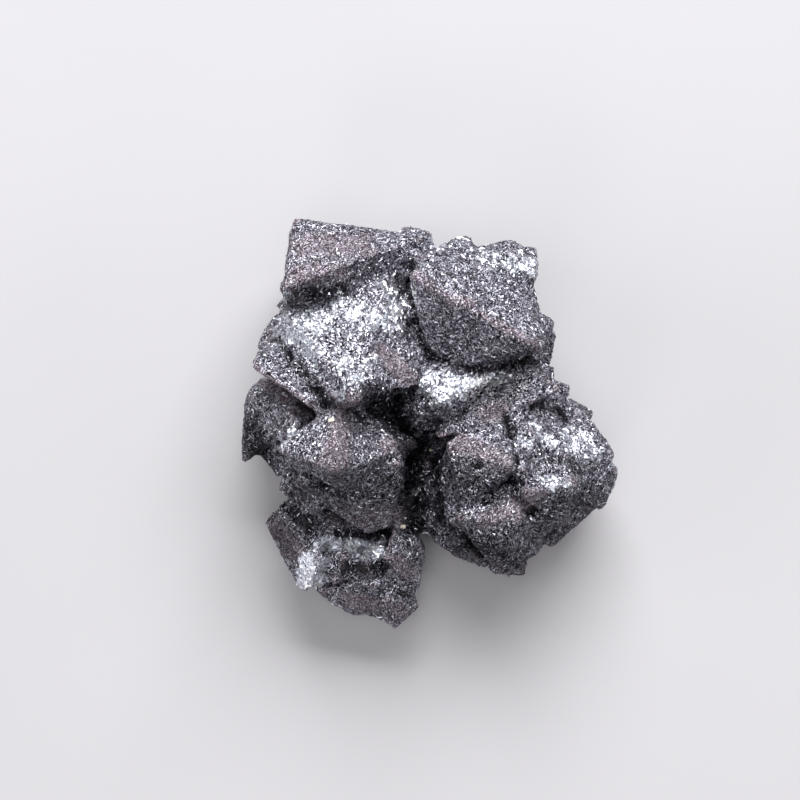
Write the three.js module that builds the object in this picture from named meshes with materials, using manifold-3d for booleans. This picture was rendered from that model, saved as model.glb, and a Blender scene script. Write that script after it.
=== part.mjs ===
// Hematite pseudomorph after magnetite: octahedra grown together into one knobbly cluster.
// It lies on the flat scar where it broke from its rock, with its best crystals upwards.
// Millimetres, +Z up; the origin is under the middle of its box, on the surface it rests on.
import * as THREE from "three";
import { ConvexGeometry } from "three/addons/geometries/ConvexGeometry.js";
import { mergeVertices } from "three/addons/utils/BufferGeometryUtils.js";
import Module from "manifold-3d";

const SCAR_Z = 0; // the flat scar's height before the cluster is centred
const CUTTER = 100; // side of the block that cuts the scar, larger than the cluster
const WORN_EDGE = 0.14; // width worn off the edges of the smallest crystals
const WORN_PER_REACH = 0.035; // and how much wider it gets per millimetre of reach
const WORN_REACH = 3; // crystals smaller than this stay sharp
const PLATE_REACH = 4.2; // crystals that reach this far carry growth plates on their faces
const PLATE_SIZE = [0.45, 0.8]; // a plate's size against its crystal
const PLATE_RISE = [0.08, 0.26]; // how far it stands proud
const PLATE_SHARE = 0.34; // how many of their faces carry one
const DRUSE_IN_JUNCTIONS = 34; // small crystals seated where large ones meet
const DRUSE_ON_FACES = 6; // small crystals seated on open faces
const DRUSE_REACH = [0.5, 1.5];
const SEED = 20;

// What broke away under the cluster: slabs that leave the scar stepped and sloping at its rim.
const SCAR_STEPS = [
  { at: [-13, 9, 0], size: [16, 14, 3.2], turn: [4, -9, 20] },
  { at: [11, 9, 0], size: [14, 13, 3], turn: [7, 8, -14] },
  { at: [14, -6, 0], size: [12, 12, 2.6], turn: [-6, 9, 12] },
  { at: [-9, -14, 0], size: [13, 12, 2.8], turn: [-10, -4, 8] },
  { at: [1.2, -14.2, 0.2], size: [11.6, 9.4, 3.4], turn: [-9, 3, -22] },
  { at: [-1, 3, 0], size: [9, 7, 1.6], turn: [3, -4, 35] },
];
// Moulds of crystals that pulled out of the scar: place, reach, turn.
const SCAR_MOULDS = [
  { at: [-7, 4.5, -0.6], reach: 2.6, turn: [20, 10, 15] },
  { at: [5.5, 8, -0.8], reach: 3, turn: [-12, 30, 40] },
  { at: [7.5, -4.5, -0.5], reach: 2.4, turn: [35, -14, 5] },
  { at: [-6.5, -7, -0.4], reach: 2, turn: [12, 24, 60] },
  { at: [-2, 13, -0.5], reach: 2.2, turn: [-25, 8, 24] },
  { at: [1, -4, -0.4], reach: 1.8, turn: [10, 40, 12] },
];

// Crystals on the show side. Each is drawn by three corners of one face; "back" stretches or
// stunts the three corners across from them, in the same order.
const FACED = [
  { name: "upper left",
    face: [[-13.1, 19.9, 12], [0.8, 17.7, 14.5], [-13.9, 12.4, 18]],
    back: [1, 0.14, 0.8],
  },
  { name: "upper left front",
    face: [[-13.6, 12.6, 17.5], [0.3, 17.2, 14.2], [-6, 6.5, 11]],
    back: [0.3, 0.2, 0.8],
  },
  { name: "upper left knob",
    face: [[-2.8, 19.2, 11.2], [0.5, 18.5, 12], [-2.4, 15.4, 15.5]],
    back: [1, 0.5, 0.6],
  },
  { name: "bright left",
    face: [[-14.5, 10.7, 14], [-3.2, 14.8, 14.5], [-6.6, 1.5, 19.7]],
    back: [1.5, 1, 1],
  },
  { name: "bright left skirt", face: [[-14.5, 8.2, 13.6], [-7.2, 9.9, 16], [-8.9, 1.7, 17.7]] },
  { name: "bright right side",
    face: [[-4.4, 13.8, 14.9], [-6.4, 2.1, 19.2], [-0.6, 4.8, 14.4]],
    back: [0.15, 0.4, 1],
  },
  { name: "upper right", face: [[-2, 14.2, 19], [11.1, 6.6, 19.7], [8.9, 18, 12.5]] },
  { name: "upper right shoulder", face: [[-1.4, 15.9, 15.5], [3.8, 18.5, 11], [6.5, 14.1, 17]] },
  { name: "upper right corner", face: [[7.4, 16.7, 15], [10.9, 17.1, 12.5], [10.6, 13.4, 16]] },
  { name: "front", face: [[-0.3, -2, 13.5], [-8.4, 2.9, 13], [-9.1, -4.7, 20.2]] },
  { name: "front left", face: [[-15.2, -2.6, 14.2], [-8.4, 2.4, 15.5], [-9, -4.7, 20]], back: [1, 0.8, 1] },
  { name: "front lower",
    face: [[-13.2, -5.7, 15.5], [-2.4, -3.6, 15.6], [-5.2, -11.4, 11.6]],
    back: [0.7, 1, 1],
  },
  { name: "front lower right",
    face: [[-9.4, -7.3, 14.6], [-2.3, -4.8, 14.6], [-3.8, -10.9, 11.8]],
    back: [0.6, 1, 1],
  },
  { name: "front lower left", face: [[-13.5, -6.4, 13.4], [-9.2, -7.2, 14.4], [-11.3, -9.4, 11.8]] },
  { name: "wedge", face: [[0.2, -2.1, 13.6], [13.5, 3.1, 13.1], [6.2, 7.5, 9.1]], back: [0.3, 1, 1] },
  { name: "shiny", face: [[-0.7, 6, 13.8], [7.4, 5.1, 13.8], [1.2, 1.7, 16]], back: [0.6, 0.5, 1] },
  { name: "left middle", face: [[-17.5, 5.4, 13.5], [-9.8, 0.2, 15.7], [-11.5, 7.6, 12.6]] },
  { name: "left low", face: [[-17.6, 2.9, 9], [-18.6, -4.8, 7], [-12.1, 0, 12]], back: [1, 0.8, 0.8] },
  { name: "left edge",
    face: [[-17, 7, 9.5], [-14.7, 10.7, 10.5], [-11.8, 5.8, 12.7]],
    back: [1, 1, 0.6],
  },
  { name: "foot left", face: [[-16.6, -9.7, 6.4], [-11.7, -10.9, 10.2], [-12.4, -17.6, 6.6]] },
  { name: "foot",
    face: [[0.1, -12.9, 6.8], [-3.5, -20.6, 5], [-8.9, -13.9, 10]],
    back: [1, 0.8, 0.8],
  },
  { name: "foot small", face: [[-8.1, -11.9, 6.8], [-4.1, -12.4, 7], [-6.3, -14.3, 10.4]] },
  { name: "foot strip", face: [[-12.9, -13, 9.1], [-10.2, -13.2, 10.4], [-11.6, -16.6, 8.6]] },
  { name: "foot strip two", face: [[-10.5, -12.6, 8.2], [-8.1, -13.2, 9.8], [-9.4, -16.7, 8.6]] },
  { name: "foot ledge", face: [[-11.4, -16.6, 7.2], [-4.4, -15.8, 8.8], [-6.8, -19.6, 5.4]] },
  { name: "foot right", face: [[0.1, -12.3, 7], [-0.6, -17.1, 5.2], [-4.6, -13.6, 9.4]], back: [1, 1, 0.3] },
  { name: "foot toe",
    face: [[-0.4, -18.4, 5], [-3.3, -21.1, 4.8], [-4.1, -17.2, 8]],
    back: [1, 1, 0.5],
  },
  { name: "right upper", face: [[1.5, -2, 16.5], [8.4, -4.2, 17.7], [7, 1.6, 12.6]] },
  { name: "right middle", face: [[2.1, -9, 15], [9, -9.1, 17.2], [7, -4.7, 12]] },
  { name: "right ledge", face: [[8.5, -6.9, 16.5], [14.5, -5.7, 15.5], [11.3, -1.8, 13]] },
  { name: "right shine",
    face: [[12.5, -3.4, 15.2], [18.5, -3.1, 11.5], [14.6, 2.4, 9.4]],
    back: [0.6, 1, 1],
  },
  { name: "right glint", face: [[7.4, -2.6, 15.8], [13.6, -1.8, 13.5], [10.8, 2.6, 9.8]] },
  { name: "right low",
    face: [[18.8, -4.6, 9], [17.2, -9.2, 8], [12.6, -5.4, 14.2]],
    back: [0.8, 0.8, 0.7],
  },
  { name: "right under",
    face: [[17.3, -8.3, 7], [12.1, -13.1, 6], [11.6, -7.3, 12.5]],
    back: [1, 1, 0.7],
  },
  { name: "right foot",
    face: [[11.1, -13.1, 8], [5.7, -15.2, 7], [6.9, -9.2, 15]],
    back: [1, 1, 0.65],
  },
  { name: "cleft wall", face: [[1.9, -2.4, 13.5], [2.4, -10.5, 12.5], [-1.2, -6.8, 7]] },
];

// Crystals of the body and the sides, nearly regular: centre, reach of the corners, turn in degrees.
const BODY = [
  { name: "body upper left", at: [-6.5, 12.3, 4.4], reach: 8.4, turn: [14, -12, 36] },
  { name: "body upper right", at: [4.6, 11, 4], reach: 8.4, turn: [-10, 16, 50] },
  { name: "body left", at: [-8, 0, 4], reach: 9.5, turn: [10, 5, 10] },
  { name: "body right", at: [8, -3, 4], reach: 9.5, turn: [-9, -6, -8] },
  { name: "body foot", at: [-7.5, -11, 3.2], reach: 5.6, turn: [6, 12, -15] },
  { name: "body toe", at: [-5, -14, 3.5], reach: 4.8, turn: [-12, 4, 5] },
  { name: "body right foot", at: [6.5, -8.5, 4], reach: 6, turn: [11, -5, 0] },
  { name: "cleft floor", at: [0.3, -8.6, 4.5], reach: 4.2, turn: [12, 8, 20] },
  { name: "cleft head", at: [-0.8, 2, 3], reach: 6, turn: [-6, 14, 30] },
  { name: "cleft throat", at: [-0.2, -4, 4.5], reach: 4.2, turn: [5, 9, 50] },
  { name: "cleft bed", at: [-2.5, -8.5, 4.9], reach: 3.7, turn: [-10, 14, 35] },
  { name: "cleft lip", at: [3.1, -11.2, 5.6], reach: 3.1, turn: [-8, 10, 15] },
  { name: "seam", at: [-1.3, 9.2, 7.6], reach: 4.6, turn: [10, -14, 28] },
  { name: "seam foot", at: [-0.9, 9.3, 10.8], reach: 3.5, turn: [14, 22, 8] },
  { name: "seam top", at: [-2.3, 11.3, 11.2], reach: 3.3, turn: [24, 10, 50] },
  { name: "hollow rim", at: [-7.2, 1.8, 13.2], reach: 2.4, turn: [12, 24, 31] },
  { name: "hollow ledge", at: [-5.1, 1.7, 10.8], reach: 2.7, turn: [-18, 12, 44] },
  { name: "left joint", at: [-12.7, -0.5, 10.8], reach: 3, turn: [22, -9, 13] },
  { name: "left saddle", at: [-11.6, 4.4, 12.8], reach: 3.2, turn: [12, 30, 16] },
  { name: "upper left neck", at: [-12.4, 11.4, 9], reach: 2.7, turn: [-15, 10, 5] },
  { name: "left neck", at: [-14.4, 6.8, 8.2], reach: 2.5, turn: [20, -6, 32] },
  { name: "left notch", at: [-14.4, -3.4, 6.5], reach: 2.5, turn: [8, 22, -10] },
  { name: "left flank", at: [-15, -1.5, 5.5], reach: 3.4, turn: [14, 3, 5] },
  { name: "left waist", at: [-12.4, -5.8, 7.5], reach: 2.9, turn: [-9, 12, 25] },
  { name: "upper left flank", at: [-12, 13.5, 8], reach: 3.2, turn: [5, 18, 12] },
  { name: "foot filling", at: [-8.2, -13.9, 5.4], reach: 4, turn: [16, -10, 42] },
  { name: "foot tip", at: [-5.4, -17.5, 4.5], reach: 2.7, turn: [5, 14, 20] },
  { name: "foot side", at: [-2.5, -16.1, 5], reach: 2.1, turn: [-14, 9, 50] },
  { name: "right instep", at: [4.8, -12.2, 5], reach: 2.9, turn: [12, -8, 24] },
  { name: "right neck", at: [11, 4.1, 7.6], reach: 2.3, turn: [-7, 15, 38] },
  { name: "right shoulder", at: [11.9, 2.4, 8.4], reach: 2.8, turn: [16, -12, 30] },
  { name: "right bridge", at: [7.7, -6.2, 12.2], reach: 3.5, turn: [18, -22, 12] },
  { name: "right brow", at: [9.5, -7, 13], reach: 3, turn: [30, -14, 26] },
  { name: "right groove", at: [10.2, -8.4, 10.2], reach: 4.6, turn: [14, 6, -20] },
  { name: "right bump", at: [9.9, 8.9, 8], reach: 3.4, turn: [24, 18, 12] },
  { name: "right waist", at: [10.3, 7.3, 6], reach: 3.4, turn: [15, -8, 33] },
  { name: "right crown", at: [14, 0.2, 7], reach: 3, turn: [-13, 6, 18] },
  { name: "right saddle", at: [9.6, -1.2, 11.4], reach: 4, turn: [10, 12, 34] },
  { name: "right hollow", at: [9.6, -4.9, 12.1], reach: 4.2, turn: [-5, -11, 22] },
  { name: "right heel", at: [8.2, -13.5, 5.6], reach: 2.7, turn: [9, 15, 40] },
  { name: "right rim", at: [15.2, -6.6, 5], reach: 3.2, turn: [4, -17, 10] },
];

// Places on the show side where the skin is pitted: angular hollows left by small crystals.
const PITS = [
  { at: [4.8, -4.3, 16.6], reach: 0.9, turn: [20, 35, 10] },
  { at: [9.2, -10.4, 15.2], reach: 1.2, turn: [50, 10, 30] },
  { at: [6.9, 15.2, 16.2], reach: 1.3, turn: [12, 28, 44] },
  { at: [-5.6, 19.3, 13.8], reach: 1.9, turn: [30, 12, 5] },
  { at: [-4.1, -6.3, 14.7], reach: 0.9, turn: [15, 40, 20] },
  { at: [-9.9, -6.3, 15.3], reach: 1.1, turn: [42, 8, 36] },
  { at: [-9.6, 5.2, 18], reach: 1.1, turn: [33, 21, 12] },
  { at: [4.6, 8.7, 18.6], reach: 1, turn: [8, 44, 25] },
  { at: [12.9, -1.4, 14.2], reach: 0.9, turn: [27, 16, 50] },
];

const wasm = await Module();
wasm.setup();

// A closed three.js geometry as a solid that can be joined and cut.
function solidOf(geometry) {
  const bare = new THREE.BufferGeometry().setAttribute("position", geometry.getAttribute("position"));
  if (geometry.index) bare.setIndex(geometry.index);
  const merged = mergeVertices(bare, 1e-5);
  return new wasm.Manifold(
    new wasm.Mesh({
      numProp: 3,
      vertProperties: new Float32Array(merged.attributes.position.array),
      triVerts: new Uint32Array(merged.index.array),
    }),
  );
}

// The face's orthocentre: where the heights of the triangle cross.
function orthocentre(corners) {
  const foot = new THREE.Vector3();
  let total = 0;
  corners.forEach((corner, i) => {
    const toNext = corners[(i + 1) % 3].clone().sub(corner);
    const toLast = corners[(i + 2) % 3].clone().sub(corner);
    const weight = 1 / toNext.dot(toLast);
    if (weight <= 0) throw new Error("a face with an obtuse corner");
    foot.addScaledVector(corner, weight);
    total += weight;
  });
  return foot.divideScalar(total);
}

// The crystal that has this face: its three axes are perpendicular and end in the corners.
function crystalOnFace({ face, back = [1, 1, 1] }) {
  const corners = face.map((c) => new THREE.Vector3(...c));
  const foot = orthocentre(corners);
  const [p, q, r] = corners;
  const normal = q.clone().sub(p).cross(r.clone().sub(p)).normalize();
  if (normal.z < 0) normal.negate();
  const depth = Math.sqrt(-p.clone().sub(foot).dot(q.clone().sub(foot)));
  const centre = foot.addScaledVector(normal, -depth);
  const ahead = corners.map((c) => c.sub(centre));
  return { centre, ahead, behind: ahead.map((arm, i) => arm.clone().multiplyScalar(-back[i])) };
}

// A nearly regular crystal: its axes are turned from the frame's by three angles.
function crystalAt({ at, reach, turn }) {
  const euler = new THREE.Euler(...turn.map(THREE.MathUtils.degToRad));
  const axes = [new THREE.Vector3(1, 0, 0), new THREE.Vector3(0, 1, 0), new THREE.Vector3(0, 0, 1)];
  const ahead = axes.map((axis) => axis.multiplyScalar(reach).applyEuler(euler));
  return { centre: new THREE.Vector3(...at), ahead, behind: ahead.map((arm) => arm.clone().negate()) };
}

// The three corners of each of the crystal's eight faces, from its centre.
function facesOf({ ahead, behind }) {
  const faces = [];
  for (const a of [ahead[0], behind[0]]) {
    for (const b of [ahead[1], behind[1]]) {
      for (const c of [ahead[2], behind[2]]) {
        faces.push([a, b, c]);
      }
    }
  }
  return faces;
}

function reachOf({ ahead }) {
  return (ahead[0].length() + ahead[1].length() + ahead[2].length()) / 3;
}

function sharpCrystal({ centre, ahead, behind }) {
  return solidOf(new ConvexGeometry([...ahead, ...behind].map((arm) => arm.clone().add(centre))));
}

// The crystal with its edges and corners worn: every face shrinks towards its own middle.
function wornCrystal(crystal) {
  const reach = reachOf(crystal);
  if (reach < WORN_REACH) return sharpCrystal(crystal);
  const shrink = (WORN_EDGE + WORN_PER_REACH * reach) / (0.41 * reach);
  const points = [];
  for (const corners of facesOf(crystal)) {
    const middle = new THREE.Vector3();
    corners.forEach((corner) => middle.addScaledVector(corner, 1 / 3));
    corners.forEach((corner) => points.push(corner.clone().lerp(middle, shrink).add(crystal.centre)));
  }
  return solidOf(new ConvexGeometry(points));
}

function geometryOf(solid) {
  const mesh = solid.getMesh();
  return new THREE.BufferGeometry()
    .setAttribute("position", new THREE.BufferAttribute(new Float32Array(mesh.vertProperties), 3))
    .setIndex(new THREE.BufferAttribute(mesh.triVerts, 1));
}

// An even stream of numbers between 0 and 1, the same every time.
function dice(seed) {
  let state = seed;
  return () => {
    state = (state * 1664525 + 1013904223) % 4294967296;
    return state / 4294967296;
  };
}

function between([low, high], roll) {
  return low + (high - low) * roll();
}

// A low growth plate on a face: a small copy of the crystal that stands a little proud there.
function growthPlate(crystal, corners, roll) {
  const size = between(PLATE_SIZE, roll);
  const middle = new THREE.Vector3();
  corners.forEach((corner) => middle.addScaledVector(corner, 1 / 3));
  const [a, b, c] = corners;
  const outward = b.clone().sub(a).cross(c.clone().sub(a)).normalize();
  if (outward.dot(middle) < 0) outward.negate();
  const place = middle.clone().multiplyScalar(1 - size).addScaledVector(outward, between(PLATE_RISE, roll));
  const towards = corners[Math.floor(roll() * 3)].clone().sub(middle);
  const aside = corners[Math.floor(roll() * 3)].clone().sub(middle);
  place.addScaledVector(towards, (1 - size) * 0.5).addScaledVector(aside, (1 - size) * 0.2);
  return sharpCrystal({
    centre: crystal.centre.clone().add(place),
    ahead: crystal.ahead.map((arm) => arm.clone().multiplyScalar(size)),
    behind: crystal.behind.map((arm) => arm.clone().multiplyScalar(size)),
  });
}

function growthPlates(crystal, roll) {
  const chosen = facesOf(crystal).filter(() => roll() < PLATE_SHARE);
  return chosen.map((corners) => growthPlate(crystal, corners, roll));
}

// The triangles of a solid, with their outward normals and areas.
function trianglesOf(solid) {
  const mesh = solid.getMesh();
  const point = (i) => new THREE.Vector3().fromArray(mesh.vertProperties, i * mesh.numProp);
  const triangles = [];
  for (let i = 0; i < mesh.triVerts.length; i += 3) {
    const ids = Array.from(mesh.triVerts.slice(i, i + 3));
    const triangle = new THREE.Triangle(...ids.map(point));
    const normal = triangle.getNormal(new THREE.Vector3());
    triangles.push({ ids, triangle, normal, area: triangle.getArea() });
  }
  return triangles;
}

// Seats on open faces, drawn by area.
function faceSeats(solid, count, roll) {
  const triangles = trianglesOf(solid);
  const total = triangles.reduce((sum, { area }) => sum + area, 0);
  const seats = [];
  for (let i = 0; i < count; i += 1) {
    let left = total * roll();
    const { triangle, normal } = triangles.find(({ area }) => (left -= area) <= 0) ?? triangles[0];
    const u = Math.sqrt(roll());
    const v = roll();
    const point = triangle.a.clone().multiplyScalar(1 - u);
    point.addScaledVector(triangle.b, u * (1 - v)).addScaledVector(triangle.c, u * v);
    seats.push({ point, normal });
  }
  return seats;
}

// Seats in the junctions where two crystals meet in a hollow edge.
function junctionSeats(solid, count, roll) {
  const edges = new Map();
  const hollows = [];
  for (const { ids, triangle, normal } of trianglesOf(solid)) {
    const corners = [triangle.a, triangle.b, triangle.c];
    ids.forEach((id, k) => {
      const next = ids[(k + 1) % 3];
      const other = edges.get(next + "/" + id);
      edges.set(id + "/" + next, { normal, apex: corners[(k + 2) % 3] });
      if (!other) return;
      const start = corners[k];
      const span = corners[(k + 1) % 3].clone().sub(start);
      const hollow = other.apex.clone().sub(start).dot(normal);
      if (hollow < 0.25 || span.length() < 0.8 || normal.dot(other.normal) > 0.9) return;
      const bisector = normal.clone().add(other.normal).normalize();
      hollows.push({ start, span, normal: bisector });
    });
  }
  const total = hollows.reduce((sum, { span }) => sum + span.length(), 0);
  const seats = [];
  for (let i = 0; i < count; i += 1) {
    let left = total * roll();
    const edge = hollows.find(({ span }) => (left -= span.length()) <= 0) ?? hollows[0];
    seats.push({ point: edge.start.clone().addScaledVector(edge.span, roll()), normal: edge.normal });
  }
  return seats;
}

// Small crystals half sunk in the seats, most of them near the small end of the range.
function druseOn(seats, roll) {
  return seats.map(({ point, normal }) => {
    const reach = DRUSE_REACH[0] + (DRUSE_REACH[1] - DRUSE_REACH[0]) * roll() ** 2;
    const spin = new THREE.Quaternion(roll() - 0.5, roll() - 0.5, roll() - 0.5, roll() - 0.5).normalize();
    const geometry = new THREE.OctahedronGeometry(reach).applyQuaternion(spin);
    const seat = point.clone().addScaledVector(normal, -0.2 * reach);
    return solidOf(geometry.translate(seat.x, seat.y, seat.z));
  });
}

// The scar is a flat cut, stepped by the slabs; the moulds pit it, and the show side too.
function scarred(solid) {
  const below = new THREE.BoxGeometry(CUTTER, CUTTER, CUTTER).translate(0, 0, SCAR_Z - CUTTER / 2);
  const slabs = SCAR_STEPS.map(({ at, size, turn }) => {
    const euler = new THREE.Euler(...turn.map(THREE.MathUtils.degToRad));
    const box = new THREE.BoxGeometry(...size).applyQuaternion(new THREE.Quaternion().setFromEuler(euler));
    return solidOf(box.translate(...at));
  });
  const moulds = [...SCAR_MOULDS, ...PITS].map((mould) => wornCrystal(crystalAt(mould)));
  return solid.subtract(wasm.Manifold.union([solidOf(below), ...slabs, ...moulds]));
}

// The largest piece on its own, without crumbs and without closed bubbles.
function largestOf(solid) {
  return solid.decompose().sort((a, b) => b.volume() - a.volume())[0];
}

// Set the solid down: the middle of its box over the origin, its lowest point on the surface.
function setDown(solid) {
  const { min, max } = solid.boundingBox();
  return solid.translate([-(min[0] + max[0]) / 2, -(min[1] + max[1]) / 2, -min[2]]);
}

const roll = dice(SEED);
const crystals = [...FACED.map(crystalOnFace), ...BODY.map(crystalAt)];
const large = crystals.filter((crystal) => reachOf(crystal) > PLATE_REACH);
const plates = large.flatMap((crystal) => growthPlates(crystal, roll));
let cluster = wasm.Manifold.union([...crystals.map(wornCrystal), ...plates]);
const inJunctions = junctionSeats(cluster, DRUSE_IN_JUNCTIONS, roll);
const onFaces = faceSeats(cluster, DRUSE_ON_FACES, roll);
cluster = wasm.Manifold.union([cluster, ...druseOn([...inJunctions, ...onFaces], roll)]);
cluster = setDown(largestOf(scarred(cluster)));

const part = new THREE.Group();
const material = new THREE.MeshStandardMaterial({ color: 0x4a4a50, roughness: 0.45, metalness: 0.85 });
const stone = new THREE.Mesh(geometryOf(cluster), material);
stone.name = "crystal_cluster";
part.add(stone);

export default part;
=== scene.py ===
import math

import bmesh
import bpy
import numpy as np
from mathutils import Matrix, Vector, noise as soft_noise
from mathutils.kdtree import KDTree


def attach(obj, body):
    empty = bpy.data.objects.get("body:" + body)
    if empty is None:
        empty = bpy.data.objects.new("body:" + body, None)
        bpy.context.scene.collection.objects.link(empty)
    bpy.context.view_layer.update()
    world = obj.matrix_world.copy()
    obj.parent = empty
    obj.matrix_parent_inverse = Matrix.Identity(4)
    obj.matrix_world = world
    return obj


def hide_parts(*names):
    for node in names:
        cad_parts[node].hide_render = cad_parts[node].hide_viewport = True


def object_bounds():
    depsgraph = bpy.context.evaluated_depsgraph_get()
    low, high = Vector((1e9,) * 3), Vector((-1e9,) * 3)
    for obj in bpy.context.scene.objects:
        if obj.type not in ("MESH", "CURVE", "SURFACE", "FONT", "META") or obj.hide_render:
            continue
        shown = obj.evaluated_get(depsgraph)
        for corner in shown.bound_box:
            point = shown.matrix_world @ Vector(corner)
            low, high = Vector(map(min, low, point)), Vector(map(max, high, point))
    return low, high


# A hematite pseudomorph after magnetite on a pale floor, seen from straight above.
# Lengths are in millimetres until a mesh is made; MM turns them into metres.

MM = 0.001
SEED = 7

VOXEL = 0.28             # net of the skin
GRAIN = 0.6              # how far apart the skin's grains sit
GRAIN_TILT = 0.3         # lean of a grain's top, as a slope
GRAIN_STEP = 0.05        # how far a grain stands proud of or below its neighbours
SUNK = 0.07              # the skin lies this far inside the solid, so that plates stay in its box
SWELL = 0.08             # height of the soft swells on the faces
WORN = 0.45              # how far the sharpest edges are rounded off
SHEET_GAP = 0.25         # room between the sheets that the skin is laid out in
GROWN_TOWARD = (0.08, 0.45, 0.89)    # the way the shiny plates of the show side lean
GLINT = 0.45             # how much of their brightness plates keep where the skin has the most painted shade
BASE_CLEAR = 0.02        # plates end this far above the surface the stone rests on
SOFT_ROUNDS = 26         # rounds of smoothing that leave only the crystals' broad shape
FACING_ROUNDS = 60       # and further rounds, for the ways that the skin's sheets look
WEAR_DEPTH = 0.35        # an edge this far proud of the broad shape is fully worn
HOLLOW_DEPTH = 0.3       # a place this far below it gets the full painted shade
SCAR_TOP = 3.2           # downward faces below this height belong to the broken scar

PLATES = 18500           # how many of each small solid are strewn on the skin
LARGE_PLATES = 2600
BLADES = 49500           # of each of the three kinds

FLOOR_HALF = 1500
CAMERA_AT = (-2.856, 2.6, 311)
CAMERA_REACH = 300       # from the camera to the level of the upper crystals
SEEN_WIDTH = 77.67       # what the frame takes in at that level
SENSOR = 36
LIT_AT = 8               # height that the lamps look at

# Strokes over the side that shows: from, to, reach, strength. A place is given as
# shares of the stone's plan, across from its left and up from its near end. A reach is a share of
# the stone's width.
# Shine and painted highlight: shinier, paler skin and more bright plates, laid where the highlights fall.
SHINE_AND_HIGHLIGHT = [
    # the bright face of the left crystal
    ((0.13, 0.74), (0.42, 0.78), 0.05, 0.75),
    ((0.14, 0.72), (0.2, 0.68), 0.03, 1.1),
    ((0.22, 0.66), (0.34, 0.65), 0.035, 0.6),
    ((0.3, 0.62), (0.28, 0.58), 0.03, 0.55),
    # the wedge under the upper right crystal, and the thin ledge beside it
    ((0.5, 0.6), (0.58, 0.6), 0.035, 1.2),
    ((0.53, 0.57), (0.56, 0.58), 0.03, 1.1),
    ((0.63, 0.61), (0.7, 0.62), 0.015, 1),
    # the upper right crystal's far edge
    ((0.66, 0.9), (0.77, 0.88), 0.035, 0.9),
    ((0.5, 0.93), (0.64, 0.94), 0.03, 0.5),
    # the right side
    ((0.78, 0.5), (0.82, 0.46), 0.02, 0.7),
    ((0.87, 0.48), (0.92, 0.44), 0.035, 0.9),
    ((0.81, 0.38), (0.86, 0.36), 0.025, 0.7),
    ((0.71, 0.45), (0.76, 0.47), 0.02, 0.55),
    # the strips and clusters on the foot
    ((0.18, 0.17), (0.18, 0.12), 0.025, 1.4),
    ((0.22, 0.18), (0.22, 0.13), 0.015, 1.2),
    ((0.22, 0.22), (0.25, 0.21), 0.02, 1.2),
    ((0.3, 0.21), (0.37, 0.2), 0.02, 1.2),
    # smaller glints
    ((0.1, 0.46), (0.16, 0.5), 0.02, 0.6),
    ((0.35, 0.83), (0.39, 0.85), 0.03, 0.4),
    ((0.46, 0.51), (0.48, 0.52), 0.015, 0.9),
]
MATTE = [
    # the upper left crystal
    ((0.17, 0.93), (0.34, 0.93), 0.05, 0.8),
    ((0.15, 0.86), (0.28, 0.87), 0.05, 0.7),
    # ridges of the two other upper crystals
    ((0.38, 0.68), (0.45, 0.61), 0.03, 1),
    ((0.46, 0.86), (0.55, 0.8), 0.03, 0.7),
    ((0.55, 0.78), (0.75, 0.7), 0.04, 0.35),
    # the left side
    ((0.05, 0.62), (0.2, 0.53), 0.03, 0.9),
    ((0.08, 0.7), (0.1, 0.74), 0.03, 0.8),
    # the front crystal's ridges and what lies under it
    ((0.28, 0.54), (0.26, 0.43), 0.05, 0.9),
    ((0.38, 0.46), (0.44, 0.45), 0.03, 0.6),
    ((0.26, 0.29), (0.42, 0.28), 0.05, 0.7),
    # ridges of the right side
    ((0.64, 0.53), (0.69, 0.54), 0.035, 0.9),
    ((0.57, 0.46), (0.66, 0.43), 0.04, 0.9),
    ((0.64, 0.28), (0.78, 0.34), 0.035, 0.9),
    # the foot
    ((0.1, 0.25), (0.14, 0.2), 0.045, 1),
    ((0.28, 0.08), (0.42, 0.05), 0.04, 0.8),
    ((0.42, 0.17), (0.46, 0.14), 0.04, 0.8),
]
# Painted shade: the skin is turned near black in the hollow, seams and gaps and under crystals, where
# shade falls.
PAINTED_DARK = [
    # the hollow in the middle and the cleft below it
    ((0.36, 0.58), (0.46, 0.46), 0.045, 1),
    ((0.46, 0.46), (0.46, 0.26), 0.035, 1),
    ((0.51, 0.42), (0.53, 0.28), 0.02, 0.8),
    # the seam between the upper crystals and the gap under the right one
    ((0.44, 0.83), (0.44, 0.68), 0.015, 0.6),
    ((0.6, 0.63), (0.75, 0.66), 0.02, 0.8),
    # under the upper left crystal, and the far left
    ((0.14, 0.8), (0.28, 0.82), 0.03, 0.8),
    ((0.03, 0.5), (0.05, 0.42), 0.05, 0.8),
    # between the foot's crystals
    ((0.13, 0.3), (0.18, 0.26), 0.03, 0.9),
    ((0.26, 0.24), (0.36, 0.23), 0.02, 0.9),
    ((0.28, 0.16), (0.38, 0.16), 0.03, 0.8),
    # low on the right side
    ((0.6, 0.22), (0.68, 0.2), 0.05, 0.6),
    ((0.86, 0.3), (0.9, 0.34), 0.03, 0.5),
]
# Painted shade and painted light: stretches darkened or brightened to stand in for shadow and light,
# scaling the colour of whatever lies there.
PAINTED_DIM = [
    # the lower faces of the crystals in the middle
    ((0.16, 0.36), (0.38, 0.33), 0.06, 0.8),
    ((0.38, 0.38), (0.44, 0.33), 0.04, 0.8),
    ((0.58, 0.38), (0.66, 0.34), 0.05, 0.8),
    ((0.44, 0.29), (0.5, 0.24), 0.035, 0.8),
    # low on the right side
    ((0.6, 0.22), (0.72, 0.18), 0.06, 0.9),
    ((0.82, 0.3), (0.92, 0.32), 0.05, 0.8),
    ((0.8, 0.25), (0.88, 0.24), 0.05, 0.9),
    ((0.72, 0.68), (0.78, 0.66), 0.04, 0.5),
    # the right side between its glints
    ((0.76, 0.42), (0.86, 0.42), 0.03, 0.5),
    # the far left and the foot's worn face
    ((0.03, 0.48), (0.06, 0.42), 0.05, 0.6),
    ((0.08, 0.27), (0.14, 0.19), 0.045, 0.9),
]
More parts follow.
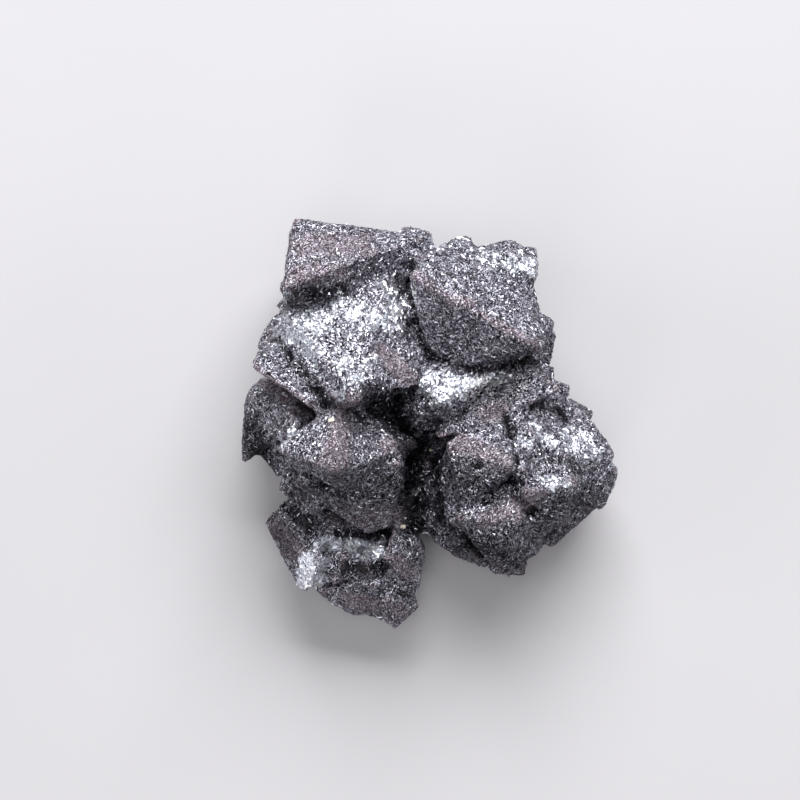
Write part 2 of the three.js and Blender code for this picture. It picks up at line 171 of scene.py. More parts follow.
# Painted light: stretches brightened where they lie in shadow.
PAINTED_LIT = [
    # the sides that the two upper crystals turn to each other
    ((0.43, 0.82), (0.45, 0.7), 0.04, 1.3),
    ((0.5, 0.75), (0.56, 0.8), 0.05, 0.3),
    ((0.58, 0.68), (0.7, 0.7), 0.05, 0.3),
    # the walls of the hollow, and the foot's cluster
    ((0.36, 0.6), (0.42, 0.53), 0.03, 1.5),
    ((0.63, 0.59), (0.7, 0.6), 0.04, 1.4),
    ((0.28, 0.22), (0.36, 0.2), 0.03, 0.8),
    ((0.18, 0.18), (0.18, 0.12), 0.03, 0.9),
]
# Pale grains of ash caught in the skin: place in the plan, and half-widths in millimetres.
ASH_GRAINS = [
    ((0.24, 0.52), (0.42, 0.3, 0.25)),
    ((0.44, 0.26), (0.36, 0.3, 0.3)),
    ((0.5, 0.45), (0.2, 0.2, 0.2)),
]
rng = np.random.default_rng(SEED)
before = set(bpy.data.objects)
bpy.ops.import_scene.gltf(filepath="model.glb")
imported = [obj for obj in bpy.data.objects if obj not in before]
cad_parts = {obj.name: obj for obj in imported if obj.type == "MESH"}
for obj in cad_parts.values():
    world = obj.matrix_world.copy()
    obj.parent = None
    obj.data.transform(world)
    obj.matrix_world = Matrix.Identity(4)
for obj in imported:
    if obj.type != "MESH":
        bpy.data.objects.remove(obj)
cad_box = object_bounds()
CAD_LO = np.array(cad_box[0]) / MM
CAD_HI = np.array(cad_box[1]) / MM


# ---------------------------------------------------------------- nets of vertices and faces

def unit(v):
    return v / np.maximum(np.linalg.norm(v, axis=-1, keepdims=True), 1e-12)


def arrays_of(mesh):
    """Vertices and triangles of a mesh as arrays."""
    verts = np.empty(len(mesh.vertices) * 3, np.float32)
    mesh.vertices.foreach_get("co", verts)
    mesh.calc_loop_triangles()
    tris = np.empty(len(mesh.loop_triangles) * 3, np.int32)
    mesh.loop_triangles.foreach_get("vertices", tris)
    return verts.reshape(-1, 3).astype(float), tris.reshape(-1, 3)


def solid_of(node):
    """The CAD solid in millimetres, with its corners joined up again."""
    mesh = node.data.copy()
    mesh.transform(Matrix.Scale(1 / MM, 4))
    bm = bmesh.new()
    bm.from_mesh(mesh)
    bmesh.ops.remove_doubles(bm, verts=bm.verts, dist=1e-4)
    bm.to_mesh(mesh)
    bm.free()
    return mesh


def remeshed(mesh, voxel):
    """The same surface as an even closed net."""
    ob = bpy.data.objects.new("net", mesh)
    bpy.context.scene.collection.objects.link(ob)
    mod = ob.modifiers.new("net", "REMESH")
    mod.mode = "VOXEL"
    mod.voxel_size = voxel
    mod.adaptivity = 0
    graph = bpy.context.evaluated_depsgraph_get()
    even = ob.evaluated_get(graph).to_mesh()
    verts, tris = arrays_of(even)
    bpy.data.objects.remove(ob)
    return verts, tris


def face_normals(verts, tris):
    a, b, c = (verts[tris[:, k]] for k in range(3))
    cross = np.cross(b - a, c - a)
    return unit(cross), np.linalg.norm(cross, axis=1) / 2


def vertex_normals(verts, tris):
    normals, areas = face_normals(verts, tris)
    total = np.zeros_like(verts)
    for k in range(3):
        for axis in range(3):
            total[:, axis] += np.bincount(tris[:, k], normals[:, axis] * areas, len(verts))
    return unit(total)


def edges_of(tris):
    pairs = np.concatenate([tris[:, [0, 1]], tris[:, [1, 2]], tris[:, [2, 0]]])
    pairs = np.sort(pairs, axis=1)
    return np.unique(pairs, axis=0)


def smoothed(values, edges, rounds):
    """Each vertex's value drawn towards its neighbours', again and again."""
    count = np.bincount(edges.ravel(), minlength=len(values)).astype(float)
    out = values.copy()
    for _ in range(rounds):
        total = np.zeros_like(out)
        for axis in range(out.shape[1]):
            total[:, axis] += np.bincount(edges[:, 0], out[edges[:, 1], axis], len(out))
            total[:, axis] += np.bincount(edges[:, 1], out[edges[:, 0], axis], len(out))
        out = 0.5 * out + 0.5 * total / count[:, None]
    return out


def mesh_of(name, verts, tris):
    """A flat-shaded Blender mesh from arrays in millimetres."""
    mesh = bpy.data.meshes.new(name)
    mesh.vertices.add(len(verts))
    mesh.vertices.foreach_set("co", (verts * MM).astype(np.float32).ravel())
    mesh.loops.add(len(tris) * 3)
    mesh.loops.foreach_set("vertex_index", tris.astype(np.int32).ravel())
    mesh.polygons.add(len(tris))
    mesh.polygons.foreach_set("loop_start", np.arange(0, len(tris) * 3, 3, dtype=np.int32))
    mesh.polygons.foreach_set("use_smooth", np.zeros(len(tris), bool))
    mesh.update(calc_edges=True)
    return mesh


def add_piece(name, mesh, material):
    ob = bpy.data.objects.new(name, mesh)
    bpy.context.scene.collection.objects.link(ob)
    mesh.materials.append(material)
    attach(ob, "root")
    return ob


def store(mesh, name, values):
    mesh.attributes.new(name, "FLOAT", "POINT").data.foreach_set("value", values.astype(np.float32))


# ---------------------------------------------------------------- the skin

def grain_relief(points, normals):
    """Each grain is a small facet with its own lean and height."""
    count = int(len(points) * (VOXEL / GRAIN) ** 2 * 1.1)
    chosen = rng.choice(len(points), count, replace=False)
    seats = points[chosen] + rng.normal(0, 0.1, (count, 3))
    lean = rng.normal(0, 1, (count, 3)) * GRAIN_TILT * 0.5
    height = rng.uniform(-1, 1, count) * GRAIN_STEP
    tree = KDTree(count)
    for i, seat in enumerate(seats):
        tree.insert(seat, i)
    tree.balance()
    own = np.array([tree.find(p)[1] for p in points])
    away = points - seats[own]
    away -= normals * (away * normals).sum(1)[:, None]
    rise = height[own] + (away * lean[own]).sum(1)
    return np.clip(rise, -0.16, 0.13)


def cloud(points, size, octaves, shift):
    """Soft noise at each point, about -1 to 1."""
    return np.array([soft_noise.fractal(Vector(p), 1.0, 2.0, octaves) for p in points / size + shift])


def step(values, low, high):
    t = np.clip((values - low) / (high - low), 0, 1)
    return t * t * (3 - 2 * t)


def in_plan(shares):
    """A place given as shares of the stone's plan, in millimetres."""
    return CAD_LO[:2] + np.array(shares) * (CAD_HI - CAD_LO)[:2]


def stroked(points, normals, strokes):
    """How strongly each point lies under any of the strokes, which are laid on from above."""
    width = CAD_HI[0] - CAD_LO[0]
    total = np.zeros(len(points))
    for start, end, reach, strength in strokes:
        origin = in_plan(start)
        along = in_plan(end) - origin
        gone = np.clip((points[:, :2] - origin) @ along / (along @ along), 0, 1)
        away = points[:, :2] - origin - gone[:, None] * along
        total = np.maximum(total, strength * np.exp(-0.9 * (away**2).sum(1) / (reach * width) ** 2))
    return total * step(points[:, 2] + 3 * normals[:, 2], 2, 5)


def show_side(points, normals):
    """1 on the side that looks up, 0 low down and below."""
    return step(points[:, 2] - 3 * (1 - normals[:, 2]), 3.5, 8.0)


def zones(points, normals, wear, hollow):
    """Where the skin is shiny (partly painted highlight), matte, or black as painted shade in hollows and
    along the dark strokes: by the strokes on top, by its own mottling elsewhere.
    """
    broad = cloud(points, 3.2, 3, 11.0)
    middle = cloud(points, 0.9, 3, 47.0)
    mottle = 0.5 * broad + 0.5 * middle
    show = show_side(points, normals)
    elsewhere = cloud(points, 4.0, 3, 83.0)
    shiny = np.maximum(stroked(points, normals, SHINE_AND_HIGHLIGHT), (1 - show) * step(elsewhere, 0.15, 0.6) * 0.9)
    matte = np.maximum(stroked(points, normals, MATTE), (1 - show) * step(-elsewhere, 0.1, 0.5) * 0.8)
    matte = np.maximum(matte, 0.95 * wear)
    painted_dark = np.maximum(stroked(points, normals, PAINTED_DARK), hollow)
    shiny = step(shiny + 0.25 * broad + 0.6 * middle, 0.4, 0.85)
    matte = step(matte - 0.35 * mottle, 0.35, 0.8) * (1 - 0.8 * shiny)
    painted_dark = step(painted_dark + 0.3 * middle, 0.3, 0.85) * (1 - 0.6 * shiny)
    return shiny, matte, painted_dark


def kept_in_box(verts):
    """Nothing passes the solid's box."""
    return np.clip(verts, CAD_LO, CAD_HI)


def skin():
    """The stone's own surface: an even net of the solid, broken up into grains."""
    solid = solid_of(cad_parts["crystal_cluster"])
    verts, tris = remeshed(solid, VOXEL)
    normals = vertex_normals(verts, tris)
    edges = edges_of(tris)
    soft = smoothed(verts, edges, SOFT_ROUNDS)
    facing = face_normals(smoothed(soft, edges, FACING_ROUNDS), tris)[0]
    proud = ((verts - soft) * normals).sum(1)
    wear = np.clip(proud / WEAR_DEPTH, 0, 1)
    # Painted shade: hollow is how far a place lies below the broad shape, and it darkens the skin there.
    hollow = np.clip(-proud / HOLLOW_DEPTH, 0, 1)
    shiny, matte, painted_dark = zones(verts, normals, wear, hollow)
    rise = grain_relief(verts, normals)
    flat = np.clip((verts[:, 2] - 0.05) / 0.6, 0, 1)
    amount = (1 - 0.6 * np.maximum(wear, matte)) * (0.25 + 0.75 * flat)
    rise += SWELL * cloud(verts, 1.5, 3, 5.0) * (1 - 0.5 * matte)
    rounded = WORN * (0.6 + 0.6 * cloud(verts, 5.0, 2, 31.0)).clip(0, 1)[:, None]
    out = verts + (soft - verts) * rounded + normals * (rise * amount - SUNK * flat)[:, None]
    # Painted shade and painted light: the tone darkens the dim strokes and the painted dark and brightens
    # the lit strokes. Low down it also varies at random.
    tone = 1 - 0.72 * stroked(verts, normals, PAINTED_DIM) + 0.95 * stroked(verts, normals, PAINTED_LIT)
    tone *= 1 - 0.45 * painted_dark
    tone *= 1 + 0.3 * (1 - show_side(verts, normals)) * cloud(verts, 3.0, 2, 59.0)
    fields = {"tone": tone, "wear": wear, "shiny": shiny, "matte": matte, "painted_dark": painted_dark}
    return kept_in_box(out), tris, fields, facing


def neighbours(tris):
    """The pairs of faces that share an edge."""
    sides = np.sort(np.concatenate([tris[:, [0, 1]], tris[:, [1, 2]], tris[:, [2, 0]]]), axis=1)
    face = np.tile(np.arange(len(tris)), 3)
    order = np.lexsort((sides[:, 1], sides[:, 0]))
    same = (sides[order[1:]] == sides[order[:-1]]).all(1)
    return face[order[:-1][same]], face[order[1:][same]]


def sheets(tris, facing):
    """The way each face looks, out of twelve, and the number of the connected sheet it belongs to."""
    tall = (1 + math.sqrt(5)) / 2
    ways = [(0, s, t * tall) for s in (-1, 1) for t in (-1, 1)]
    ways = unit(np.array([w[k:] + w[:k] for w in ways for k in range(3)]))
    way = (facing @ ways.T).argmax(1)
    one, other = neighbours(tris)
    same = way[one] == way[other]
    one, other = one[same], other[same]
    sheet = np.arange(len(tris))
    settled = False
    while not settled:
        before = sheet.copy()
        lower = np.minimum(sheet[one], sheet[other])
        np.minimum.at(sheet, one, lower)
        np.minimum.at(sheet, other, lower)
        sheet = sheet[sheet]
        settled = (sheet == before).all()
    return ways[way], np.unique(sheet, return_inverse=True)[1]


def on_shelves(sizes, width):
    """Places boxes in rows of the given width, the tallest first; gives their corners and the height."""
    corners = np.zeros_like(sizes)
    x = y = row = 0.0
    for k in np.argsort(-sizes[:, 1]):
        if x + sizes[k, 0] > width:
            x, y, row = 0.0, y + row, 0.0
        corners[k] = x, y
        x += sizes[k, 0]
        row = max(row, sizes[k, 1])
    return corners, y + row


def unfolded(verts, tris, facing):
    """Lays the sheets of the skin side by side in the unit square."""
    way, sheet = sheets(tris, facing)
    count = sheet.max() + 1
    across = unit(np.cross(way, (0.31, 0.52, 0.79)))
    along = np.cross(way, across)
    flat = np.stack([(verts[tris] * axis[:, None]).sum(2) for axis in (across, along)], 2)
    low = np.full((count, 2), np.inf)
    high = -low
    for k in range(3):
        np.minimum.at(low, sheet, flat[:, k])
        np.maximum.at(high, sheet, flat[:, k])
    sizes = high - low + SHEET_GAP
    widths = np.linspace(0.9, 1.5, 13) * math.sqrt(sizes.prod(1).sum())
    tried = [(max(width, on_shelves(sizes, width)[1]), width) for width in widths]
    side, width = min(tried)
    corners = on_shelves(sizes, width)[0] + SHEET_GAP / 2
    return (flat + (corners - low)[sheet][:, None]) / side


skin_verts, skin_tris, fields, skin_facing = skin()
skin_normals, skin_areas = face_normals(skin_verts, skin_tris)


# ---------------------------------------------------------------- node materials

def node_material(name):
    mat = bpy.data.materials.new(name)
    mat.use_nodes = True
    nt = mat.node_tree
    nt.nodes.clear()
    out = nt.nodes.new("ShaderNodeOutputMaterial")
    shader = nt.nodes.new("ShaderNodeBsdfPrincipled")
    nt.links.new(shader.outputs[0], out.inputs[0])
    return mat, nt, shader


def places(nt):
    """Object coordinates in millimetres."""
    coords = nt.nodes.new("ShaderNodeTexCoord")
    scale = nt.nodes.new("ShaderNodeVectorMath")
    scale.operation = "SCALE"
    scale.inputs[3].default_value = 1 / MM
    nt.links.new(coords.outputs["Object"], scale.inputs[0])
    return scale.outputs[0]


def noise(nt, at, size, detail=3, rough=0.55):
    n = nt.nodes.new("ShaderNodeTexNoise")
    n.inputs["Scale"].default_value = 1 / size
    n.inputs["Detail"].default_value = detail
    n.inputs["Roughness"].default_value = rough
    nt.links.new(at, n.inputs["Vector"])
    return n.outputs["Fac"]


def cells(nt, at, size):
    """Voronoi cells: their random colour."""
    n = nt.nodes.new("ShaderNodeTexVoronoi")
    n.inputs["Scale"].default_value = 1 / size
    nt.links.new(at, n.inputs["Vector"])
    return n.outputs["Color"]


def strokes(nt, at, width, stretch, patch):
    """Cells drawn out into strokes, which run another way in each patch."""
    angles = nt.nodes.new("ShaderNodeVectorMath")
    angles.operation = "SCALE"
    angles.inputs[3].default_value = 2 * math.pi
    nt.links.new(cells(nt, at, patch), angles.inputs[0])
    turn = nt.nodes.new("ShaderNodeVectorRotate")
    turn.rotation_type = "EULER_XYZ"
    nt.links.new(at, turn.inputs["Vector"])
    nt.links.new(angles.outputs[0], turn.inputs["Rotation"])
    drawn = nt.nodes.new("ShaderNodeVectorMath")
    drawn.operation = "MULTIPLY"
    drawn.inputs[1].default_value = (1 / stretch, 1, 1)
    nt.links.new(turn.outputs[0], drawn.inputs[0])
    return cells(nt, drawn.outputs[0], width)


def ramp(nt, value, stops):
    n = nt.nodes.new("ShaderNodeValToRGB")
    elements = n.color_ramp.elements
    while len(elements) < len(stops):
        elements.new(0.5)
    for element, (at, colour) in zip(elements, stops):
        element.position = at
        element.color = (*colour, 1) if hasattr(colour, "__len__") else (colour, colour, colour, 1)
    nt.links.new(value, n.inputs[0])
    return n.outputs[0]


def maths(nt, operation, a, b):
    n = nt.nodes.new("ShaderNodeMath")
    n.operation = operation
    for socket, value in zip(n.inputs, (a, b)):
        if isinstance(value, (int, float)):
            socket.default_value = value
        else:
            nt.links.new(value, socket)
    return n.outputs[0]


def mixed(nt, share, a, b):
    """Colour a where share is 0, b where it is 1."""
    n = nt.nodes.new("ShaderNodeMix")
    n.data_type = "RGBA"
    nt.links.new(share, n.inputs["Factor"])
    for socket, value in zip((n.inputs[6], n.inputs[7]), (a, b)):
        if isinstance(value, tuple):
            socket.default_value = (*value, 1)
        else:
            nt.links.new(value, socket)
    return n.outputs[2]


def painted_light_scaled(nt, colour):
    """The colour scaled by the tone attribute, which carries painted shade and painted light, capped at
    white.
    """
    scaled = nt.nodes.new("ShaderNodeVectorMath")
    scaled.operation = "SCALE"
    nt.links.new(colour, scaled.inputs[0])
    nt.links.new(attribute(nt, "tone"), scaled.inputs[3])
    least = nt.nodes.new("ShaderNodeVectorMath")
    least.operation = "MINIMUM"
    least.inputs[1].default_value = (1, 1, 1)
    nt.links.new(scaled.outputs[0], least.inputs[0])
    return least.outputs[0]


def attribute(nt, name):
    n = nt.nodes.new("ShaderNodeAttribute")
    n.attribute_name = name
    return n.outputs["Fac"]


def parted(nt, colour):
    n = nt.nodes.new("ShaderNodeSeparateColor")
    nt.links.new(colour, n.inputs[0])
    return n.outputs


def leaning(nt, colour, amount):
    """The surface's normal, leaning another way in each cell."""
    geometry = nt.nodes.new("ShaderNodeNewGeometry")
    centred = nt.nodes.new("ShaderNodeVectorMath")
    centred.operation = "SUBTRACT"
    centred.inputs[1].default_value = (0.5, 0.5, 0.5)
    nt.links.new(colour, centred.inputs[0])
    scaled = nt.nodes.new("ShaderNodeVectorMath")
    scaled.operation = "SCALE"
    scaled.inputs[3].default_value = amount
    nt.links.new(centred.outputs[0], scaled.inputs[0])
    total = nt.nodes.new("ShaderNodeVectorMath")
    total.operation = "ADD"
    nt.links.new(geometry.outputs["Normal"], total.inputs[0])
    nt.links.new(scaled.outputs[0], total.inputs[1])
    final = nt.nodes.new("ShaderNodeVectorMath")
    final.operation = "NORMALIZE"
    nt.links.new(total.outputs[0], final.inputs[0])
    return final.outputs[0]


def skin_material():
    """Strokes of iron and steel, softer and purple-grey where they are worn, plates where they shine,
    with paler silver colour there as partly painted highlight. They are near black as painted shade, and
    all scaled by painted light and shade.
    """
    mat, nt, shader = node_material("hematite_skin")
    at = places(nt)
    fine = strokes(nt, at, 0.09, 3.5, 0.6)
    broad = cells(nt, at, 0.3)
    part = parted(nt, fine)
    matte = attribute(nt, "matte")
    shiny = attribute(nt, "shiny")
    painted_dark = attribute(nt, "painted_dark")
    iron = ramp(nt, part[0], [(0.18, (0.008, 0.0065, 0.01)), (0.48, (0.058, 0.051, 0.067)),
                              (0.72, (0.28, 0.275, 0.325)), (1, (0.86, 0.88, 0.97))])
    velvet = ramp(nt, part[0], [(0.15, (0.03, 0.021, 0.026)), (0.6, (0.15, 0.121, 0.146)),
                                (1, (0.6, 0.545, 0.62))])
    silver_highlight = ramp(nt, part[1], [(0, (0.045, 0.043, 0.052)), (0.5, (0.38, 0.385, 0.435)),
                                (1, (0.86, 0.89, 0.96))])
    colour = mixed(nt, matte, iron, velvet)
    # Silver where the shine and the painted highlights lie.
    colour = mixed(nt, shiny, colour, silver_highlight)
    # Painted shade: near black where the painted dark lies.
    colour = mixed(nt, maths(nt, "MULTIPLY", painted_dark, 0.9), colour, (0.011, 0.009, 0.013))
    nt.links.new(painted_light_scaled(nt, colour), shader.inputs["Base Color"])
    metal = maths(nt, "SUBTRACT", 0.95, maths(nt, "MULTIPLY", matte, 0.45))
    nt.links.new(metal, shader.inputs["Metallic"])
    rough = ramp(nt, part[2], [(0.1, 0.35), (0.8, 0.6)])
    rough = maths(nt, "ADD", rough, maths(nt, "MULTIPLY", matte, 0.15))
    nt.links.new(rough, shader.inputs["Roughness"])
    lean = mixed(nt, maths(nt, "MULTIPLY", shiny, 0.6), fine, broad)
    nt.links.new(leaning(nt, lean, 0.9), shader.inputs["Normal"])
    return mat


def plate_material(name, stops, metallic, roughness):
    """Plates of one finish: each has its own shade, and fine strokes of its own. The colour is scaled by
    the painted light and shade of the skin below.
    """
    mat, nt, shader = node_material(name)
    fine = strokes(nt, places(nt), 0.07, 2.5, 0.5)
    mottle = maths(nt, "MULTIPLY", parted(nt, fine)[0], 0.35)
    shade = maths(nt, "ADD", maths(nt, "MULTIPLY", attribute(nt, "shade"), 0.7), mottle)
    nt.links.new(painted_light_scaled(nt, ramp(nt, shade, stops)), shader.inputs["Base Color"])
    nt.links.new(leaning(nt, fine, 0.35), shader.inputs["Normal"])
    shader.inputs["Metallic"].default_value = metallic
    shader.inputs["Roughness"].default_value = roughness
    return mat


# ---------------------------------------------------------------- plates, blades and grains of ash

def closed_hull(verts, faces):
    """The faces turned so that they all look out from the middle."""
    middle = verts.mean(0)
    out = []
    for a, b, c in faces:
        normal = np.cross(verts[b] - verts[a], verts[c] - verts[a])
        out.append([a, b, c] if normal @ (verts[a] - middle) > 0 else [a, c, b])
    return verts, np.array(out)


def plate(scale=0.85):
    """A three-sided plate, a little smaller at the top: 8 triangles."""
    angles = np.radians([90, 210, 330])
    ring = np.stack([np.cos(angles), np.sin(angles), np.zeros(3)], 1)
    verts = np.concatenate([ring + [0, 0, -1], ring * [scale, scale, 0] + [0, 0, 1]])
    tris = [[0, 2, 1], [3, 4, 5]]
    for k in range(3):
        n = (k + 1) % 3
        tris += [[k, n, n + 3], [k, n + 3, k + 3]]
    return verts, np.array(tris)


def blade():
    """A thin crystal plate that stands on its long edge: 4 triangles."""
    verts = np.array([[-1, 0, -1], [0.85, 0, -1], [-0.55, 1, 1], [0.9, -1, 0.8]])
    return closed_hull(verts, [[0, 1, 2], [0, 1, 3], [0, 2, 3], [1, 2, 3]])


def seats_on_skin(count, weight):
    """Points drawn by area and weight, and the skin's normal there."""
    share = skin_areas * weight
    pick = rng.choice(len(skin_tris), count, p=share / share.sum())
    u, v = rng.random(count), rng.random(count)
    fold = u + v > 1
    u[fold], v[fold] = 1 - u[fold], 1 - v[fold]
    a, b, c = (skin_verts[skin_tris[pick, k]] for k in range(3))
    return a + (b - a) * u[:, None] + (c - a) * v[:, None], skin_normals[pick], pick


def laid(normal, lean, drawn=0.0):
    """Axes of plates that lie on the skin: along it, across it and up, leaning by an angle."""
    count = len(normal)
    normal = unit(normal + drawn * (normal[:, 2:] > 0) * unit(np.array(GROWN_TOWARD)))
    along = unit(np.cross(normal, rng.normal(0, 1, (count, 3))))
    aside = np.cross(normal, along)
    angle = np.radians(np.clip(rng.normal(lean[0], lean[1], count), -88, 88))
    up = normal * np.cos(angle)[:, None] + aside * np.sin(angle)[:, None]
    return along, np.cross(up, along), up


def near_skin(points, reach):
    """Whether each point is within reach of the skin."""
    return np.array([skin_tree.find(p)[2] < reach for p in points])


def scatter(name, shape, count, weight, axes, size, spread, sink, material, swell=0.0, hug=None):
    """Many small closed solids as one mesh, each sunk part of its height in the skin."""
    base, faces = shape
    at, normal, pick = seats_on_skin(count, weight)
    frames = axes(normal)
    grown = np.clip(np.exp(rng.normal(0, spread, count)), 0.4, 1.9) * (1 + swell * face_of["shiny"][pick])
    extent = [grown * side * rng.uniform(0.8, 1.25, count) for side in size]
    sides = [frames[k] * extent[k][:, None] for k in range(3)]
    verts = at[:, None] + sum(base[None, :, k, None] * sides[k][:, None] for k in range(3))
    lift = ((verts - at[:, None]) * normal[:, None]).sum(2)
    verts += normal[:, None] * (-lift.min(1) - sink * np.ptp(lift, axis=1))[:, None, None]
    keep = verts[..., 2].min(1) > BASE_CLEAR
    keep &= (verts.min(1) > CAD_LO).all(1) & (verts.max(1) < CAD_HI).all(1)
    if hug:
        keep &= near_skin(verts.reshape(-1, 3), hug).reshape(count, -1).all(1)
    verts = verts[keep]
    kept = len(verts)
    all_tris = (faces[None] + (np.arange(kept) * len(base))[:, None, None]).reshape(-1, 3)
    mesh = mesh_of(name, verts.reshape(-1, 3), all_tris)
    shade = rng.random(count) * (1 - 0.25 * face_of["matte"][pick])
    store(mesh, "shade", np.repeat(shade[keep], len(base)))
    # The painted light and shade of the skin below, kept softer on the dim side so that the plates still
    # glint.
    tone = face_of["tone"][pick]
    tone = np.where(tone < 1, GLINT + (1 - GLINT) * tone, tone)
    store(mesh, "tone", np.repeat(tone[keep], len(base)))
    lay_out(mesh, base, faces, kept)
    add_piece(name, mesh, material)


def lay_out(mesh, base, faces, count):
    """Gives every small solid its own square of the texture."""
    across = math.ceil(math.sqrt(count))
    cell = np.arange(count)
    corner = np.stack([cell % across, cell // across], 1) / across
    flat = (base[:, :2] + base[:, 2:] * [[0.13, 0.07]]) * 0.3 + 0.5
    uv = corner[:, None, None] + flat[faces][None] / across
    mesh.uv_layers.new(name="OFBake").uv.foreach_set("vector", uv.astype(np.float32).ravel())


def on_top(shares, reach=0.4):
    """The highest point of the skin at a place in the plan."""
    near = skin_verts[np.linalg.norm(skin_verts[:, :2] - in_plan(shares), axis=1) < reach]
    return near[near[:, 2].argmax()]


def crumb(name, at, size, material):
    """A small closed lump: the hull of points strewn about a ball."""
    bm = bmesh.new()
    for point in unit(rng.normal(0, 1, (26, 3))) * rng.uniform(0.75, 1, (26, 1)) * size:
        bm.verts.new((point + at) * MM)
    bmesh.ops.convex_hull(bm, input=bm.verts)
    bmesh.ops.delete(bm, geom=[v for v in bm.verts if not v.link_faces], context="VERTS")
    mesh = bpy.data.meshes.new(name)
    bm.to_mesh(mesh)
    bm.free()
    store(mesh, "shade", rng.random(len(mesh.vertices)))
    store(mesh, "tone", np.ones(len(mesh.vertices)))
    add_piece(name, mesh, material)


skin_mesh = mesh_of("stone_skin", skin_verts, skin_tris)
for field, values in fields.items():
    store(skin_mesh, field, values)
sheet_uv = unfolded(skin_verts, skin_tris, skin_facing)
skin_mesh.uv_layers.new(name="OFBake").uv.foreach_set("vector", sheet_uv.astype(np.float32).ravel())
stone = add_piece("stone_skin", skin_mesh, skin_material())
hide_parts("crystal_cluster")

skin_tree = KDTree(len(skin_verts))
for number, point in enumerate(skin_verts):
    skin_tree.insert(point, number)
skin_tree.balance()
face_of = {field: values[skin_tris].mean(1) for field, values in fields.items()}
middle = skin_verts[skin_tris].mean(1)
scar = (middle[:, 2] < SCAR_TOP) & (skin_normals[:, 2] < -0.25)
shiny, matte, painted_dark = face_of["shiny"], face_of["matte"], face_of["painted_dark"]
open_face = np.where(scar, 0.35, 1.0) * (1 - 0.7 * face_of["wear"])

BRIGHT_SHADES = [(0.1, (0.22, 0.22, 0.25)), (0.85, (0.64, 0.67, 0.74))]
STEEL_SHADES = [(0.2, (0.012, 0.01, 0.014)), (0.55, (0.21, 0.202, 0.245)), (0.95, (0.82, 0.84, 0.93))]
GREY_SHADES = [(0.15, (0.02, 0.0145, 0.019)), (0.6, (0.19, 0.161, 0.192)), (0.95, (0.72, 0.67, 0.77))]
ASH_SHADES = [(0, (0.42, 0.38, 0.31)), (0.8, (0.74, 0.68, 0.57))]
BRIGHT = plate_material("plates_bright", BRIGHT_SHADES, metallic=1.0, roughness=0.4)
STEEL = plate_material("steel", STEEL_SHADES, metallic=1.0, roughness=0.33)
GREY = plate_material("grey", GREY_SHADES, metallic=0.75, roughness=0.42)
ASH = plate_material("ash", ASH_SHADES, metallic=0.0, roughness=0.8)

# Small solids: how likely they are from place to place, how they lean, their half-sides, how much
# their sizes vary and how deep they sit.
scatter("plates_bright", plate(), PLATES, open_face * (0.03 + 1.5 * shiny - 0.02 * painted_dark),
        lambda n: laid(n, (0, 18), 0.4), (0.11, 0.11, 0.018), 0.35, 0.5, BRIGHT, swell=0.4, hug=0.25)
scatter("plates_large", plate(), LARGE_PLATES, open_face * shiny**2 * (middle[:, 2] > 3),
        lambda n: laid(n, (0, 14), 0.5), (0.34, 0.24, 0.03), 0.3, 0.5, BRIGHT, hug=0.28)
scatter("blades_long", blade(), BLADES,
        open_face * (0.6 + 0.6 * shiny) * (1 - 0.75 * matte) * (1 - 0.5 * painted_dark),
        lambda n: laid(n, (55, 20)), (0.2, 0.012, 0.038), 0.4, 0.4, STEEL)
scatter("blades_short", blade(), BLADES,
        open_face * (0.8 + 0.3 * shiny) * (1 - 0.4 * matte) * (1 - 0.6 * painted_dark),
        lambda n: laid(n, (50, 22)), (0.12, 0.01, 0.03), 0.35, 0.4, STEEL)
scatter("blades_grey", blade(), BLADES, (0.6 + 1.2 * matte) * (1 - 0.5 * shiny) * (1 - 0.5 * painted_dark),
        lambda n: laid(n, (50, 20)), (0.09, 0.01, 0.026), 0.35, 0.45, GREY)
for k, (shares, radii) in enumerate(ASH_GRAINS):
    crumb(f"ash_grain_{k + 1}", on_top(shares), np.array(radii), ASH)


# ---------------------------------------------------------------- floor, light, camera

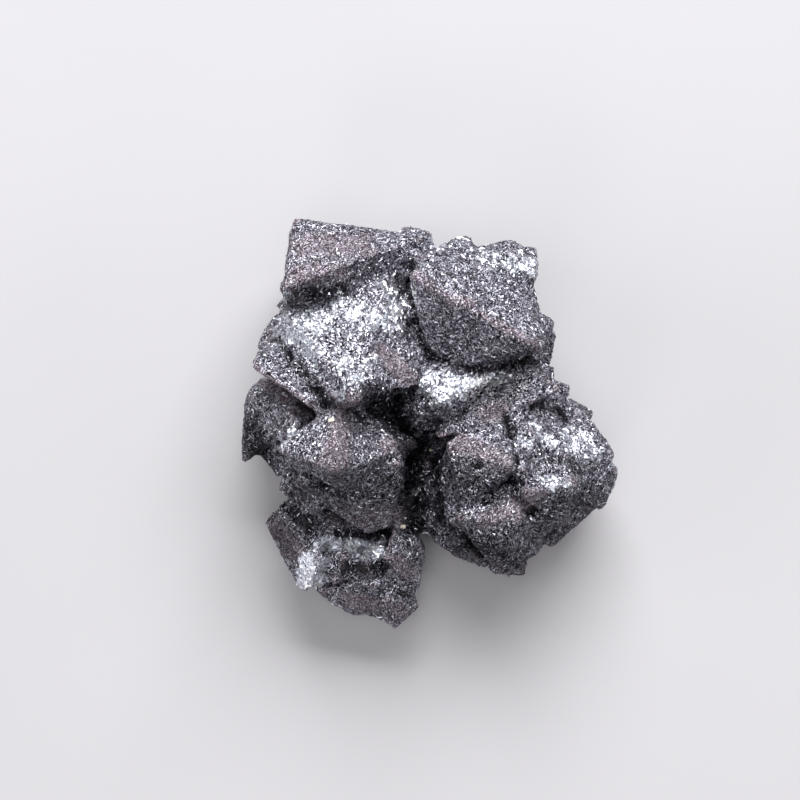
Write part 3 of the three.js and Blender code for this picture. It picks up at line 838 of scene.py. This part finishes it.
def floor():
    corners = np.array([[-1, -1, 0], [1, -1, 0], [1, 1, 0], [-1, 1, 0]]) * FLOOR_HALF
    mesh = mesh_of("floor", corners, np.array([[0, 1, 2], [0, 2, 3]]))
    ob = bpy.data.objects.new("floor", mesh)
    bpy.context.scene.collection.objects.link(ob)
    mat, nt, shader = node_material("pale_paper")
    clouding = noise(nt, places(nt), 60, 2)
    tone = ramp(nt, clouding, [(0.2, (0.45, 0.446, 0.464)), (0.8, (0.475, 0.47, 0.489))])
    nt.links.new(tone, shader.inputs["Base Color"])
    shader.inputs["Roughness"].default_value = 0.9
    shader.inputs["Specular IOR Level"].default_value = 0.1
    mesh.materials.append(mat)


def lamp(name, toward, distance, size, watts, colour=(1, 1, 1)):
    """A soft square lamp that looks at the stone from the direction given."""
    data = bpy.data.lights.new(name, "AREA")
    data.shape = "RECTANGLE"
    data.size, data.size_y = size
    data.energy = watts
    data.color = colour
    ob = bpy.data.objects.new(name, data)
    bpy.context.scene.collection.objects.link(ob)
    direction = Vector(toward).normalized()
    ob.location = Vector((0, 0, LIT_AT * MM)) + direction * distance
    ob.rotation_mode = "QUATERNION"
    ob.rotation_quaternion = direction.to_track_quat("Z", "Y")


def camera():
    """Straight above the stone, its long side upwards in the frame."""
    data = bpy.data.cameras.new("camera")
    data.sensor_width = SENSOR
    data.lens = SENSOR * CAMERA_REACH / SEEN_WIDTH
    ob = bpy.data.objects.new("camera", data)
    bpy.context.scene.collection.objects.link(ob)
    ob.location = Vector(CAMERA_AT) * MM
    ob.rotation_euler = (0, 0, 0)
    bpy.context.scene.camera = ob


def studio():
    """Faint even light from all round."""
    world = bpy.data.worlds.new("studio")
    bpy.context.scene.world = world
    world.use_nodes = True
    background = world.node_tree.nodes["Background"]
    background.inputs["Color"].default_value = (0.95, 0.97, 1.0, 1)
    background.inputs["Strength"].default_value = 0.15


floor()
camera()
studio()
lamp("key", (0.14, 0.82, 0.66), 0.75, (0.65, 0.4), 11.8, (1.0, 0.995, 0.99))
lamp("top", (-0.1, -0.05, 1.0), 0.8, (0.5, 0.5), 1.8)
lamp("fill", (-0.3, -0.75, 0.6), 0.9, (0.3, 0.25), 1.1, (1.0, 0.9, 0.92))
lamp("left", (-1.0, -0.05, 0.35), 0.8, (0.6, 0.3), 2.2)
lamp("right", (1.0, -0.1, 0.4), 0.8, (0.6, 0.3), 1.2)
bpy.context.scene.view_settings.view_transform = "Standard"
